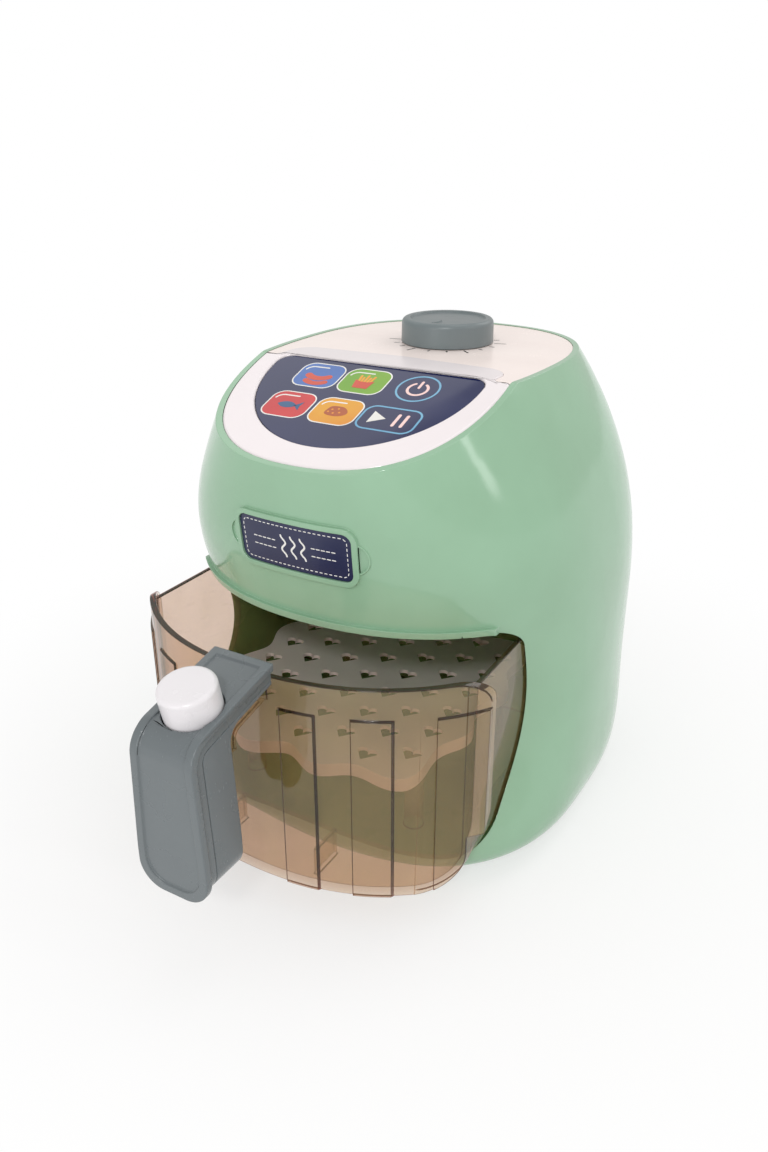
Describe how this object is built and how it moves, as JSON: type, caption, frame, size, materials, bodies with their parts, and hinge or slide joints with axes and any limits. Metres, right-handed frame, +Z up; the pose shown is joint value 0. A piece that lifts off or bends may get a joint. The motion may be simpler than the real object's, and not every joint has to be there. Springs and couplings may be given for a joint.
{
  "type": "toy air fryer",
  "caption": "Toy air fryer with a rounded body, sliding clear drawer and food rack, turning timer knob, touch display and a handle with a push button.",
  "frame": {"origin": "centre of the body's base on the floor; the base plate's flat underside is 1 mm above it", "axes": "-Y towards the drawer and its handle, +X to the viewer's right, +Z up"},
  "size_m": [0.1833, 0.2802, 0.203],
  "materials": {
    "mint_abs": "gloss",
    "white_abs": "gloss",
    "grey_abs": "satin",
    "smoke_clear": "clear moulded polystyrene",
    "rack_translucent": "translucent",
    "navy_print": "satin",
    "dark_lens": "polished",
    "board": "satin",
    "silicone": "matte",
    "led": "gloss",
    "chip": "satin",
    "spring_steel": "satin",
    "screw_steel": "plated",
    "foot_rubber": "matte",
    "cell_jacket": "gloss",
    "speaker_black": "matte"
  },
  "bodies": {
    "body": {"outer_shell": "mint_abs", "nameplate": "navy_print", "top_panel": "white_abs", "control_bezel": "white_abs", "display_lens": "dark_lens", "circuit_board": "board", "key_pad": "silicone", "indicator_leds": "led", "sound_chip": "chip", "click_spring": "spring_steel", "click_screw": "screw_steel", "board_screws": "screw_steel", "panel_screws": "screw_steel", "base_plate": "mint_abs", "base_screws": "screw_steel", "bay_screws": "screw_steel", "rubber_feet": "foot_rubber", "battery_cover": "mint_abs", "cover_screw": "screw_steel", "battery_cells": "cell_jacket", "battery_contacts": "spring_steel", "speaker": "speaker_black", "drawer_bay": "mint_abs"},
    "knob": {"timer_knob": "grey_abs", "knob_ratchet": "white_abs", "knob_screw": "screw_steel"},
    "drawer": {"drawer_tub": "smoke_clear", "food_rack": "rack_translucent", "handle_shell": "grey_abs", "handle_back": "grey_abs", "handle_screws": "screw_steel", "button_spring": "spring_steel"},
    "button": {"release_button": "white_abs"}
  },
  "joints": [
    {"name": "drawer_slide", "type": "slide", "parent": "body", "child": "drawer", "axis": [0, -1, 0], "range_m": [-0.034, 0.058]},
    {"name": "knob_turn", "type": "hinge", "parent": "body", "child": "knob", "pos_m": [0, 0.0152, 0.1925], "axis": [0, 0, 1], "range_deg": [-135, 135]},
    {"name": "button_press", "type": "slide", "parent": "drawer", "child": "button", "axis": [0, 0.2113, -0.9774], "range_m": [0, 0.0028], "stiffness_N_per_m": 900, "springref_m": -0.001, "deforming": ["button_spring"]}
  ]
}
